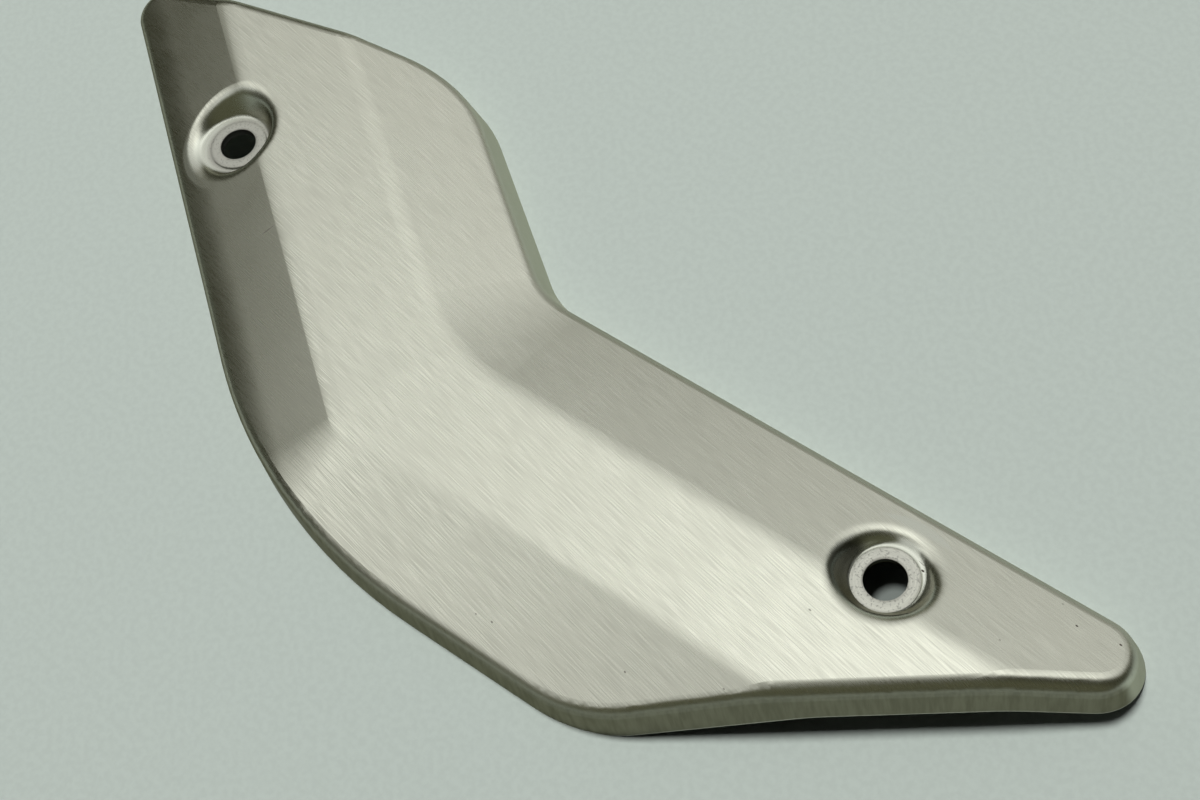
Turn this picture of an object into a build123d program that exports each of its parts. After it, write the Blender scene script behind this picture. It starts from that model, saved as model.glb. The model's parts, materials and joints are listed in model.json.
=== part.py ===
from build123d import *
import os
from math import atan2, cos, degrees, radians, sin, tan

# Exhaust heat shield pressed from one sheet: a boomerang of two folded arms with a turned-down rim.
# Sizes are in millimetres and degrees. The shield lies on the floor z = 0, and the plan's origin is the
# elbow, where the arms' centre lines meet. The lower arm runs along +X and the inner side faces +Y.

# Sheet and folds
SHEET = 1.0
CROWN = 12.5                # top of the flat middle band above the floor
BAND_WIDTH = 19.7           # flat middle band between the two creases
SLOPE = 19.0                # fall of the side facets
FOLD_RADIUS = 9.0           # rounding of the creases, outside of the sheet
OUTER_CREASE_RADIUS = 7.0   # creases' turns at the elbow, in plan
INNER_CREASE_RADIUS = 36.0

# Plan at the shoulder, where the facets meet the rim
BEND = 36.0                 # turn of the upper arm at the elbow
OUTER_REACH = 27.4          # centre lines to the outer shoulder
INNER_REACH = 27.4          # upper arm's centre line to the inner shoulder
LOWER_REACH = 28.75         # the same on the lower arm, at the elbow
INNER_TAPER = 1.1           # the inner side closes in on the lower arm's centre line
LOWER_LENGTH = 94.2         # elbow to end, along the centre lines
UPPER_LENGTH = 87.1
LOWER_SLANT = 34.8          # the ends' angles to their arms
UPPER_SLANT = 45.9
TOP_CORNER = 4.5
ELBOW_CORNER = 95.0
HEEL_CORNER = 27.0
TIP_CORNER = 6.3
INNER_CORNER = 17.0
SHOULDER_CORNER = 27.0

# Rim
SHOULDER_RADIUS = 2.5       # rounding between facets and rim, outside of the sheet
OUTER_DRAFT = 4.5           # flare of the rim on the outer side, the inner side and the ends
INNER_DRAFT = 17.5
END_DRAFT = 4.8
RIM_DEPTH = 7.7             # crown to the rim's lower edge in the middle of the ends
ARCH_FLAT = 15.7            # width of the level middle of the ends' lower edge
ARCH_REACH = 25.0           # centre line to where the ends' lower edge reaches the floor

# Bolt holes in their recesses
HOLE_DIAMETER = 6.6
UPPER_HOLE = 63.9           # from the elbow along the arms
LOWER_HOLE = 82.4
UPPER_SETBACK = 12.7        # in from the outer shoulder
LOWER_SETBACK = 14.05       # in from the inner shoulder's place at the elbow
SEAT_DEPTH = 3.03           # top of the bolt pads below their facets, at the holes
PAD_DIAMETER = 10.4
PAD_RISE = 0.5
UPPER_RECESS = 6.2          # radius of the recesses at their floors
LOWER_RECESS = 5.4
UPPER_SHIFT = 0.8           # upper recess's centre beyond its hole, along the arm
RECESS_WALL = 55.0          # steepness of the recess walls
RECESS_TILT = 10.0          # lean of the recesses down their facets
LIP_RADIUS = 2.6            # rounding where the recess goes down, outside of the sheet

# Lengths that only have to clear the sheet
ARM_SPARE = 60.0            # beyond the ends
CLEARANCE = 2.0


def slope(angle):
    return tan(radians(angle))


def lean(angle):
    return sin(radians(angle))


def square(angle):
    return cos(radians(angle))


def facet_level(offset):
    """Height of the side facets at a distance from the centre lines."""
    return CROWN - (offset - BAND_WIDTH / 2) * slope(SLOPE)


def bolt_seat(turn, along, offset):
    """Place on top of a bolt pad, with X pointing to the arm's end and Y down the facet."""
    return Rot(0, 0, turn) * Pos(along, offset, facet_level(offset) - SEAT_DEPTH)


UPPER_SEAT = bolt_seat(180 - BEND, UPPER_HOLE, OUTER_REACH - UPPER_SETBACK)
LOWER_SEAT = bolt_seat(0, LOWER_HOLE, LOWER_REACH - LOWER_SETBACK)

# Level of the shoulder beside the arms, and runs of the facets and recess walls past the sheet
SIDE_LEVEL = facet_level(INNER_REACH)
EAVES_RUN = LOWER_REACH - BAND_WIDTH / 2 + 3 * CLEARANCE
RECESS_RUN = CROWN - SIDE_LEVEL + SEAT_DEPTH + 2 * CLEARANCE


def on_arm(turn, x, y=0.0):
    """Point in plan, given along and across an arm turned about the elbow."""
    return Vector(x, y).rotate(Axis.Z, turn)


def line(turn, x, y, angle=0.0):
    """Endless line through a point given on an arm, at an angle to the arm."""
    return Axis(on_arm(turn, x, y), on_arm(turn + angle, 1))


def outline(level, inset):
    """Area inside the rim's walls at a level, inset from the sheet's outside."""
    outer_out = (SIDE_LEVEL - level) * slope(OUTER_DRAFT) - inset / square(OUTER_DRAFT)
    inner_out = (SIDE_LEVEL - level) * slope(INNER_DRAFT) - inset / square(INNER_DRAFT)
    end_out = (CROWN - level) * slope(END_DRAFT) - inset / square(END_DRAFT)
    upper_end = line(-BEND, -UPPER_LENGTH - end_out / lean(UPPER_SLANT), 0, UPPER_SLANT)
    outer_upper = line(-BEND, 0, -OUTER_REACH - outer_out)
    outer_lower = line(0, 0, -OUTER_REACH - outer_out)
    lower_end = line(0, LOWER_LENGTH + end_out / lean(LOWER_SLANT), 0, LOWER_SLANT)
    inner_lower = line(0, 0, LOWER_REACH + inner_out, -INNER_TAPER)
    inner_upper = line(-BEND, 0, INNER_REACH + inner_out)
    sides = [upper_end, outer_upper, outer_lower, lower_end, inner_lower, inner_upper]
    corners = [a.intersect(b) for a, b in zip(sides, sides[1:] + sides[:1])]
    outer_grow = (outer_out + end_out) / 2
    inner_grow = (inner_out + end_out) / 2
    radii = [
        TOP_CORNER + outer_grow,
        ELBOW_CORNER + outer_out,
        HEEL_CORNER + outer_grow,
        TIP_CORNER + inner_grow,
        INNER_CORNER - inner_out,
        SHOULDER_CORNER + inner_grow,
    ]
    return Pos(0, 0, level) * make_face(FilletPolyline(corners, radius=radii, close=True))


def band(level, half):
    """Area to either side of the centre lines at a level, running past the ends."""
    spread = half - BAND_WIDTH / 2
    upper = -UPPER_LENGTH - ARM_SPARE
    lower = LOWER_LENGTH + ARM_SPARE
    outer_elbow = line(-BEND, 0, -half).intersect(line(0, 0, -half))
    inner_elbow = line(-BEND, 0, half).intersect(line(0, 0, half))
    corners = [
        on_arm(-BEND, upper, -half),
        outer_elbow,
        on_arm(0, lower, -half),
        on_arm(0, lower, half),
        inner_elbow,
        on_arm(-BEND, upper, half),
    ]
    radii = [0, OUTER_CREASE_RADIUS + spread, 0, 0, INNER_CREASE_RADIUS - spread, 0]
    return Pos(0, 0, level) * make_face(FilletPolyline(corners, radius=radii, close=True))


def folded(top, half, eaves, reach, radius):
    """Level band with facets falling to the eaves on both sides, filled down past the floor."""
    body = loft([band(-CROWN, reach), band(eaves, reach), band(top, half)], ruled=True)
    creases = body.faces().sort_by(Axis.Z)[-1].edges().sort_by_distance((0, 0, top))[:-2]
    return fillet(creases, radius)


def recess(radius, inset):
    """Filled recess below a bolt seat, its level floor's foot sharp outside and rounded inside."""
    reach = radius + inset / lean(RECESS_WALL)
    depth = reach * slope(RECESS_WALL)
    brim = reach + RECESS_RUN / slope(RECESS_WALL)
    cone = Cone(0, brim, depth + RECESS_RUN, align=(Align.CENTER, Align.CENTER, Align.MIN))
    cone = Rot(-RECESS_TILT, 0, 0) * Pos(0, 0, -depth) * cone
    body = split(cone, Plane.XY.offset(-inset), Keep.TOP)
    if inset:
        body = fillet(body.edges().group_by(Axis.Z)[0], inset)
    return Pos(0, 0, -PAD_RISE) * body


def form(inset):
    """Solid bounded by the sheet's outside, or by its inside when inset by the sheet."""
    crown = CROWN - inset
    half = BAND_WIDTH / 2 - inset * slope(SLOPE / 2)
    eaves = crown - EAVES_RUN * slope(SLOPE)
    top = folded(crown, half, eaves, half + EAVES_RUN, FOLD_RADIUS - inset)
    walls = loft([outline(-inset, inset), outline(CROWN + CLEARANCE, inset)], ruled=True)
    body = top & walls
    body = fillet(new_edges(top, walls, combined=body), SHOULDER_RADIUS - inset)
    for place, radius in [(UPPER_SEAT * Pos(UPPER_SHIFT), UPPER_RECESS), (LOWER_SEAT, LOWER_RECESS)]:
        tool = place * recess(radius, inset)
        cut = body - tool
        body = cut if inset else fillet(new_edges(body, tool, combined=cut), LIP_RADIUS)
    return body


# Sheet between the two forms, with the rim's lower edge arched at the ends
arch = folded(CROWN - RIM_DEPTH, ARCH_FLAT / 2, 0, ARCH_REACH, FOLD_RADIUS)
shield = form(0) - form(SHEET) - arch

# Bolt pads and holes
pad_height = PAD_RISE + SHEET / 2
for seat in (UPPER_SEAT, LOWER_SEAT):
    shield += seat * Pos(0, 0, -pad_height / 2) * Cylinder(PAD_DIAMETER / 2, pad_height)
    shield -= seat * Cylinder(HOLE_DIAMETER / 2, 2 * CROWN)

# Line through the holes along X, with the origin under the middle of the part
across = LOWER_SEAT.position - UPPER_SEAT.position
shield = Rot(0, 0, -degrees(atan2(across.Y, across.X))) * shield
box = shield.bounding_box()
shield = Pos(-box.center().X, -box.center().Y, -box.min.Z) * shield

os.makedirs("parts", exist_ok=True)
export_step(shield, "parts/heat_shield.step")
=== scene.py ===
"""Looks of a pressed exhaust heat shield: brushed stainless sheet lying on a pale bench."""
import json
import math

import bpy
from mathutils import Matrix, Vector

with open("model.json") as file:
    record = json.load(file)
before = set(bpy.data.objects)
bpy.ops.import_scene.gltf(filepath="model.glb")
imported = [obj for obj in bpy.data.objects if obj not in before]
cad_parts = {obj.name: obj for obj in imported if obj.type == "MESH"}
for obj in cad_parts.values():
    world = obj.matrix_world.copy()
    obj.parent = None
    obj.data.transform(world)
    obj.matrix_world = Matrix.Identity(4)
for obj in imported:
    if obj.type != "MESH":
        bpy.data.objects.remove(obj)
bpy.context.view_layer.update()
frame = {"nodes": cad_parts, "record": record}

MM = 0.001

# Places on the part: the holes are from its record, the pads from the CAD sizes, the rest are given
PATTERN = next(m for m in frame["record"]["mounts"] if m["name"] == "bolt_holes")
PATTERN_CENTRE = Vector(PATTERN["pos_m"])
HALF_SPACING = PATTERN["dims"]["spacing_x_mm"] * MM / 2
UPPER_HOLE = PATTERN_CENTRE - Vector((HALF_SPACING, 0, 0))
LOWER_HOLE = PATTERN_CENTRE + Vector((HALF_SPACING, 0, 0))
SEAT = PATTERN_CENTRE.z + 0.75 * MM             # top of the bolt pads
INNER_SIDE = Vector((0.26, 0.966, 0))           # out of the bend's inside
UPPER_OUTWARD = Vector((-0.524, -0.852, 0))     # across the upper arm, down its outer facet
BORE_RADIUS = PATTERN["dims"]["hole_r_mm"] * MM
PAD_RADIUS = 5.2 * MM
RECESS_REACH = 11.0 * MM
WALL_REACH = RECESS_REACH - 1.5 * MM
EDGE_HEIGHT = 6.0 * MM                          # the rim's lower edge lies below this
CROWN_START = 5.5 * MM                          # from the upper hole, towards the outer shoulder
CROWN_END = 13.0 * MM
CROWN_TILT = 0.15

# Camera, from the lower bolt pad
VIEW_OFFSET = Vector((70.3, -77.9, 244.6)) * MM
VIEW_FORWARD = Vector((-0.4371, 0.2675, -0.8587))
VIEW_RIGHT = Vector((0.7448, 0.6429, -0.1789))
LENS = 54.0
SENSOR = 36.0

# Finish, with light and shade painted into the rim, edge, recess and bore colours
BRUSH_ANGLE = math.radians(-7)      # the streaks' direction, from +X
FLOOR_COLOUR = (0.47, 0.53, 0.485)
STEEL = (0.54, 0.535, 0.458)
# rim steel in a lit copy for walls facing into the bend and a shaded copy for the outer and end walls:
# painted light and shade
INNER_RIM_LIT = (0.74, 0.745, 0.64)
OUTER_RIM_SHADED = (0.27, 0.262, 0.205)
# pale colour painted on the rim's lower edge as a highlight
EDGE_HIGHLIGHT_STEEL = (0.85, 0.85, 0.78)
PAD_STEEL = (0.57, 0.57, 0.50)
RECESS_STEEL = (0.55, 0.555, 0.485)
BACK_STEEL = (0.45, 0.45, 0.41)
GRAZING_TINT = (0.4, 0.39, 0.33, 1)
MARK_COLOUR = (0.06, 0.05, 0.04)
LOWER_SHADED_SIDE = (0.80, 0.60, 0)   # direction that the lower recess's wall with painted shade faces
BRUSH_FINE = (170, 9000)            # noise along and across the streaks
BRUSH_COARSE = (120, 4500)
DRAW_LINES = (1400, 1400, 70)
GROOVE_DEPTH = 0.02 * MM
GROOVE_STRENGTH = 0.07
SOFT_RADIUS = 1.0 * MM              # foot and pad edge in the recesses
SHEARED_RADIUS = 0.45 * MM

# Light
LAMP_FROM = Vector((-0.16, 0.04, 0.98))
LAMP_DISTANCE = 2.0
LAMP_SIZE = 0.40
LAMP_POWER = 38.5
FRONT = Vector((0.575, -0.818, 0)).normalized()
BACK = Vector((-0.27, 0.96, 0)).normalized()
WINDOW = Vector((-0.70, -0.36, 0.64)).normalized()
SKYLIGHT = Vector((-0.22, -0.54, 0.81)).normalized()
GLOW = Vector((-0.05, 0.27, 0.96)).normalized()
RISE = (0, 0.20, 1)                 # the ceiling's height is taken along this
ROOM_LEVEL = 0.045
DIM_TINT = (0.98, 1.0, 0.60)
BRIGHT_TINT = (0.975, 1.0, 0.985)
FLOOR_HALF = 2.0

# Small marks on the upper side: place from the lower bolt hole in mm, turn from +X in degrees,
# half length and half width in mm, depth
MARKS = [
    (25.67, 10.02, -7, 0.26, 0.14, 1.0),
    (31.95, 11.30, -7, 0.26, 0.15, 1.0),
    (3.39, 4.46, -7, 0.30, 0.16, 1.0),
    (2.70, 5.30, -7, 0.80, 0.07, 0.5),
    (-42.62, -40.13, -7, 0.22, 0.14, 0.7),
    (-45.53, -40.64, -7, 0.18, 0.12, 0.6),
    (-20.82, -34.25, -7, 0.20, 0.14, 0.7),
    (-7.16, -27.97, -7, 0.20, 0.12, 0.6),
    (19.02, 1.02, -7, 0.16, 0.12, 0.6),
    (22.14, 11.91, -7, 0.20, 0.10, 0.5),
    (-4.44, -11.55, -7, 0.26, 0.14, 0.5),
    (-121.80, -10.99, 64, 1.50, 0.13, 0.8),
]


def scaled(colour, factor):
    return tuple(factor * c for c in colour)


class Graph:
    """Short way to add and join the nodes of a material or the world."""

    def __init__(self, tree):
        self.tree = tree
        tree.nodes.clear()

    def add(self, kind, *inputs, **settings):
        """Adds a node, sets its properties, and fills its first inputs from values or sockets."""
        node = self.tree.nodes.new(kind)
        for name, value in settings.items():
            setattr(node, name, value)
        for socket, value in zip(node.inputs, inputs):
            self.put(socket, value)
        return node

    def put_all(self, node, **values):
        """Fills inputs by name, with _ for a space."""
        for name, value in values.items():
            self.put(node.inputs[name.replace("_", " ")], value)

    def put(self, socket, value):
        if isinstance(value, bpy.types.NodeSocket):
            self.tree.links.new(value, socket)
        elif value is not None:
            socket.default_value = value

    def math(self, operation, a, b=None, c=None):
        return self.add("ShaderNodeMath", a, b, c, operation=operation).outputs[0]

    def vector(self, operation, a, b=None):
        node = self.add("ShaderNodeVectorMath", a, b, operation=operation)
        scalar = operation in ("DISTANCE", "LENGTH", "DOT_PRODUCT")
        return node.outputs["Value" if scalar else "Vector"]

    def ramp(self, value, low, high, start=0.0, end=1.0):
        """Soft ramp of a value from low..high to start..end, held at both ends."""
        node = self.add("ShaderNodeMapRange", clamp=True, interpolation_type="SMOOTHSTEP")
        self.put_all(node, Value=value, From_Min=low, From_Max=high, To_Min=start, To_Max=end)
        return node.outputs["Result"]

    def mixed(self, kind, suffix, factor, a, b):
        """Mix node of a kind. Its sockets share names, so they are found by identifier."""
        node = self.add("ShaderNodeMix", data_type=kind)
        sockets = {s.identifier: s for s in node.inputs}
        self.put(sockets["Factor_Float"], factor)
        self.put(sockets["A_" + suffix], a)
        self.put(sockets["B_" + suffix], b)
        return next(s for s in node.outputs if s.identifier == "Result_" + suffix)

    def mix(self, factor, a, b):
        """Mix of two colours."""
        a, b = ((*x, 1) if isinstance(x, tuple) else x for x in (a, b))
        return self.mixed("RGBA", "Color", factor, a, b)

    def blend(self, factor, a, b):
        """Mix of two numbers."""
        return self.mixed("FLOAT", "Float", factor, a, b)

    def noise(self, place, scale, detail=2.0, roughness=0.5):
        """Noise from 0 to 1 about 0.5 at a place."""
        node = self.add("ShaderNodeTexNoise", noise_dimensions="3D")
        self.put_all(node, Vector=place, Scale=scale, Detail=detail, Roughness=roughness)
        return node.outputs["Fac"]


def new_material(name):
    material = bpy.data.materials.new(name)
    material.use_nodes = True
    return material, Graph(material.node_tree)


def stretched(g, place, angle, along, across):
    """Place turned about Z and scaled, so that noise there runs in streaks."""
    turned = g.add("ShaderNodeVectorRotate", rotation_type="Z_AXIS")
    g.put_all(turned, Vector=place, Angle=-angle)
    return g.vector("MULTIPLY", turned.outputs[0], (along, across, 0))


def sheet_material():
    """Brushed steel with a plain rim, bare bolt pads and smooth recesses, and painted light and shade on the
    rim walls, the rim's lower edge, the recess walls and the bores.
    """
    material, g = new_material("pressed_sheet")
    place = g.add("ShaderNodeTexCoord").outputs["Object"]
    geometry = g.add("ShaderNodeNewGeometry")
    xyz = g.add("ShaderNodeSeparateXYZ", place)
    normal = g.add("ShaderNodeSeparateXYZ", geometry.outputs["Normal"])
    height = xyz.outputs["Z"]
    facing = normal.outputs["Z"]

    # Distance in plan from the nearer bolt hole
    plan = g.vector("MULTIPLY", place, (1, 1, 0))
    to_upper = g.vector("DISTANCE", plan, (UPPER_HOLE.x, UPPER_HOLE.y, 0))
    to_lower = g.vector("DISTANCE", plan, (LOWER_HOLE.x, LOWER_HOLE.y, 0))
    to_hole = g.math("MINIMUM", to_upper, to_lower)

    # Zones, each from 0 to 1
    near = g.ramp(to_hole, RECESS_REACH, RECESS_REACH - 0.6 * MM)
    sunk = g.ramp(height, SEAT + 0.15 * MM, SEAT - 0.2 * MM)
    leaning = g.ramp(facing, 0.93, 0.80)
    recess = g.math("MULTIPLY", near, g.math("MAXIMUM", sunk, leaning))
    on_top = g.ramp(height, SEAT - 0.45 * MM, SEAT - 0.3 * MM)
    lower_pad = g.ramp(to_lower, PAD_RADIUS - 0.02 * MM, PAD_RADIUS - 0.12 * MM)
    lower_pad = g.math("MULTIPLY", lower_pad, on_top)
    upper_pad = g.ramp(to_upper, PAD_RADIUS + 1.3 * MM, PAD_RADIUS + 0.3 * MM)
    pad = g.math("MAXIMUM", lower_pad, upper_pad)
    rim = g.math("MULTIPLY", g.ramp(facing, 0.86, 0.35), g.math("SUBTRACT", 1.0, near))
    back = g.ramp(facing, -0.01, -0.03)

    # Streaks of the brush, fine and coarse, and broad clouds
    fine = g.noise(stretched(g, place, BRUSH_ANGLE, *BRUSH_FINE), 1.0, 1.0, 0.6)
    coarse = g.noise(stretched(g, place, BRUSH_ANGLE, *BRUSH_COARSE), 1.0, 1.0, 0.5)
    clouds = g.noise(place, 60.0, 3.0, 0.5)
    streaks = g.math("ADD", g.math("MULTIPLY", fine, 0.7), g.math("MULTIPLY", coarse, 0.3))
    draw = g.noise(g.vector("MULTIPLY", place, DRAW_LINES), 1.0, 2.0, 0.6)
    rings = g.add("ShaderNodeCombineXYZ", 0.0, 0.0, g.math("MULTIPLY", to_hole, 5000.0)).outputs[0]
    scuffs = g.noise(g.vector("ADD", g.vector("MULTIPLY", place, (150, 150, 0)), rings), 1.0, 2.0, 0.6)

    # Painted highlight on the rim's sheared lower edge, and the marks
    corner = g.add("ShaderNodeBevel", SHEARED_RADIUS, samples=4).outputs[0]
    edge = g.ramp(g.vector("DOT_PRODUCT", corner, geometry.outputs["Normal"]), 0.995, 0.90)
    low_rim = g.math("MULTIPLY", rim, g.ramp(height, EDGE_HEIGHT + 0.5 * MM, EDGE_HEIGHT))
    edge = g.math("MULTIPLY", edge, low_rim)
    marked = marks(g, place, g.math("SUBTRACT", 1.0, back))

    # Colour
    shade = g.mix(g.ramp(streaks, 0.3, 0.7), scaled(STEEL, 0.88), scaled(STEEL, 1.1))
    # Painted light and shade on the rim: walls facing into the bend get the lighter copy, the outer and end
    # walls the darker copy, over the real draw lines
    inward_lit = g.ramp(g.vector("DOT_PRODUCT", geometry.outputs["Normal"], INNER_SIDE), 0.0, 0.3)
    drawn_and_shaded_rim = g.mix(g.ramp(draw, 0.3, 0.7), scaled(OUTER_RIM_SHADED, 0.85), scaled(OUTER_RIM_SHADED, 1.15))
    drawn_and_shaded_rim = g.mix(inward_lit, drawn_and_shaded_rim, INNER_RIM_LIT)
    ringed = g.mix(g.ramp(scuffs, 0.3, 0.7), scaled(PAD_STEEL, 0.88), scaled(PAD_STEEL, 1.1))
    by_upper = g.ramp(to_upper, 2 * RECESS_REACH, RECESS_REACH)
    ringed = g.mix(by_upper, ringed, scaled(PAD_STEEL, 0.72))
    pits = g.ramp(g.noise(place, 3000.0, 2.0, 0.6), 0.44, 0.36, 0, 0.7)
    ringed = g.mix(pits, ringed, scaled(PAD_STEEL, 0.4))
    colour = g.mix(rim, shade, drawn_and_shaded_rim)
    # Painted shade on one wall of each recess, set by place and by the wall's direction
    dark_wall = g.vector("DOT_PRODUCT", geometry.outputs["Normal"], LOWER_SHADED_SIDE)
    painted_wall_shade = g.math("MULTIPLY", g.ramp(to_lower, RECESS_REACH, WALL_REACH), g.ramp(dark_wall, 0.35, 0.62))
    upper_wall = g.ramp(normal.outputs["X"], -0.2, -0.6, 0, 0.6)
    shaded = g.math("MULTIPLY", g.ramp(to_upper, RECESS_REACH, WALL_REACH), upper_wall)
    painted_wall_shade = g.math("MAXIMUM", painted_wall_shade, shaded)
    colour = g.mix(recess, colour, RECESS_STEEL)
    colour = g.mix(painted_wall_shade, colour, scaled(RECESS_STEEL, 0.3))
    colour = g.mix(pad, colour, ringed)
    # Painted shadow inside the bolt bore: its wall gets a near-black colour
    by_bore = g.ramp(to_hole, BORE_RADIUS + 0.2 * MM, BORE_RADIUS + 0.1 * MM)
    bore_shade = g.math("MULTIPLY", by_bore, g.ramp(facing, 0.5, 0.2))
    colour = g.mix(bore_shade, colour, scaled(PAD_STEEL, 0.15))
    colour = g.mix(back, colour, BACK_STEEL)
    # painted highlight along the rim's lower edge
    colour = g.mix(edge, colour, EDGE_HIGHLIGHT_STEEL)
    colour = g.mix(marked, colour, MARK_COLOUR)

    # Roughness
    rough = g.ramp(streaks, 0.3, 0.7, 0.33, 0.24)
    rough = g.math("ADD", rough, g.ramp(clouds, 0.3, 0.7, -0.02, 0.02))
    rough = g.blend(rim, rough, g.ramp(draw, 0.3, 0.7, 0.36, 0.44))
    rough = g.blend(recess, rough, 0.27)
    rough = g.blend(pad, rough, g.ramp(scuffs, 0.3, 0.7, 0.48, 0.58))
    rough = g.blend(back, rough, 0.45)
    rough = g.blend(edge, rough, 0.4)

    # Soft foot and pad edge in the recesses
    soft = g.add("ShaderNodeBevel", SOFT_RADIUS, samples=8).outputs[0]
    softened = g.mixed("VECTOR", "Vector", near, geometry.outputs["Normal"], soft)

    # Slight crown of the upper arm's outer facet towards its shoulder
    out = g.vector("DOT_PRODUCT", g.vector("SUBTRACT", place, tuple(UPPER_HOLE)), UPPER_OUTWARD)
    tilt = g.ramp(out, CROWN_START, CROWN_END, 0, CROWN_TILT)
    tilt = g.math("MULTIPLY", tilt, g.math("SUBTRACT", 1.0, near))
    tilt = g.math("MULTIPLY", tilt, g.ramp(facing, 0.80, 0.90))
    outward = g.add("ShaderNodeVectorMath", UPPER_OUTWARD, operation="SCALE")
    g.put_all(outward, Scale=tilt)
    crowned = g.vector("NORMALIZE", g.vector("ADD", softened, outward.outputs["Vector"]))

    # Grooves of the brush
    grooves = g.math("MULTIPLY", streaks, g.math("SUBTRACT", 1.0, recess))
    bump = g.add("ShaderNodeBump")
    g.put_all(bump, Strength=GROOVE_STRENGTH, Distance=GROOVE_DEPTH, Height=grooves, Normal=crowned)

    across = (-math.sin(BRUSH_ANGLE), math.cos(BRUSH_ANGLE), 0)
    tangent = g.add("ShaderNodeCombineXYZ", *across).outputs[0]
    metal = g.math("SUBTRACT", 1.0, g.math("MAXIMUM", g.math("MULTIPLY", pad, 0.65), marked))
    shader = g.add("ShaderNodeBsdfPrincipled")
    g.put_all(shader, Base_Color=colour, Metallic=metal, Roughness=rough, Normal=bump.outputs[0])
    g.put_all(shader, Anisotropic=0.5, Tangent=tangent, Specular_Tint=GRAZING_TINT)
    g.add("ShaderNodeOutputMaterial", shader.outputs[0])
    return material


def marks(g, place, where):
    """Mask of the small marks."""
    total = 0.0
    for x, y, turn, length, width, depth in MARKS:
        centre = LOWER_HOLE + Vector((x, y, 0)) * MM
        offset = g.vector("SUBTRACT", place, (centre.x, centre.y, 0))
        turned = stretched(g, offset, math.radians(turn), 1 / (length * MM), 1 / (width * MM))
        total = g.math("MAXIMUM", total, g.ramp(g.vector("LENGTH", turned), 1.2, 0.6, 0, depth))
    return g.math("MULTIPLY", total, where)


def floor_material():
    """Pale bench top, a little uneven in tone, with painted shade under the lower hole."""
    material, g = new_material("bench")
    place = g.add("ShaderNodeTexCoord").outputs["Object"]
    grain = g.noise(place, 900.0, 2.0)
    colour = g.mix(g.ramp(grain, 0.3, 0.7), scaled(FLOOR_COLOUR, 0.97), scaled(FLOOR_COLOUR, 1.03))
    # Painted shade on the bench under the lower hole, beneath the sheet
    under = g.vector("DISTANCE", place, (LOWER_HOLE.x, LOWER_HOLE.y, 0))
    colour = g.mix(g.ramp(under, RECESS_REACH, 0.5 * RECESS_REACH), colour, scaled(FLOOR_COLOUR, 0.4))
    shader = g.add("ShaderNodeBsdfPrincipled")
    g.put_all(shader, Base_Color=colour, Roughness=0.7)
    g.add("ShaderNodeOutputMaterial", shader.outputs[0])
    return material


def make_floor():
    mesh = bpy.data.meshes.new("floor")
    corners = [(-1, -1, 0), (1, -1, 0), (1, 1, 0), (-1, 1, 0)]
    mesh.from_pydata([scaled(corner, FLOOR_HALF) for corner in corners], [], [(0, 1, 2, 3)])
    floor = bpy.data.objects.new("floor", mesh)
    bpy.context.scene.collection.objects.link(floor)
    mesh.materials.append(floor_material())


def make_camera():
    camera = bpy.data.cameras.new("camera")
    camera.lens = LENS
    camera.sensor_width = SENSOR
    camera.clip_start = 0.01
    holder = bpy.data.objects.new("camera", camera)
    bpy.context.scene.collection.objects.link(holder)
    back = -VIEW_FORWARD.normalized()
    up = back.cross(VIEW_RIGHT).normalized()
    right = up.cross(back)
    turn = Matrix((right, up, back)).transposed()
    eye = Vector((LOWER_HOLE.x, LOWER_HOLE.y, SEAT)) + VIEW_OFFSET
    holder.matrix_world = Matrix.Translation(eye) @ turn.to_4x4()
    bpy.context.scene.camera = holder


def make_lights():
    """Soft box overhead for the bench, and a room with a pale ceiling and dark front walls for the metal."""
    lamp = bpy.data.lights.new("overhead", "AREA")
    lamp.shape = "DISK"
    lamp.size = LAMP_SIZE
    lamp.energy = LAMP_POWER
    holder = bpy.data.objects.new("overhead", lamp)
    holder.location = LAMP_FROM.normalized() * LAMP_DISTANCE
    holder.rotation_euler = LAMP_FROM.to_track_quat("Z", "Y").to_euler()
    holder.visible_glossy = False
    bpy.context.scene.collection.objects.link(holder)

    world = bpy.data.worlds.new("room")
    world.use_nodes = True
    bpy.context.scene.world = world
    world.cycles_visibility.diffuse = False
    g = Graph(world.node_tree)
    direction = g.add("ShaderNodeTexCoord").outputs["Generated"]
    rise = g.vector("DOT_PRODUCT", direction, RISE)
    ceiling = g.math("ADD", g.ramp(rise, 0.44, 0.68, 0, 0.76), g.ramp(rise, 0.70, 0.96, 0, 0.56))
    front = g.vector("DOT_PRODUCT", direction, FRONT)
    level = g.math("MULTIPLY", ceiling, g.ramp(front, -0.24, 0.07, 1, 0))
    level = g.math("ADD", level, g.ramp(g.vector("DOT_PRODUCT", direction, BACK), 0.80, 0.97, 0, 0.30))
    window = g.ramp(g.vector("DOT_PRODUCT", direction, WINDOW), 0.90, 0.985, 0, 0.80)
    level = g.math("ADD", level, g.math("MULTIPLY", window, g.ramp(rise, 0.46, 0.66)))
    level = g.math("ADD", level, g.ramp(g.vector("DOT_PRODUCT", direction, SKYLIGHT), 0.88, 0.985, 0, 0.86))
    level = g.math("ADD", level, g.ramp(g.vector("DOT_PRODUCT", direction, GLOW), 0.93, 0.99, 0, 0.5))
    level = g.math("ADD", level, g.ramp(front, 0.25, 0.70, 0, 0.07))
    bright = g.ramp(level, 0.0, 0.5)
    tint = g.mix(bright, DIM_TINT, BRIGHT_TINT)
    light = g.add("ShaderNodeBackground", tint, g.math("ADD", level, ROOM_LEVEL))
    g.add("ShaderNodeOutputWorld", light.outputs[0])


shield = frame["nodes"]["heat_shield"]
sheet = sheet_material()
for index in range(len(shield.material_slots)):
    shield.material_slots[index].material = sheet
make_floor()
make_camera()
make_lights()
bpy.context.scene.view_settings.view_transform = "Standard"
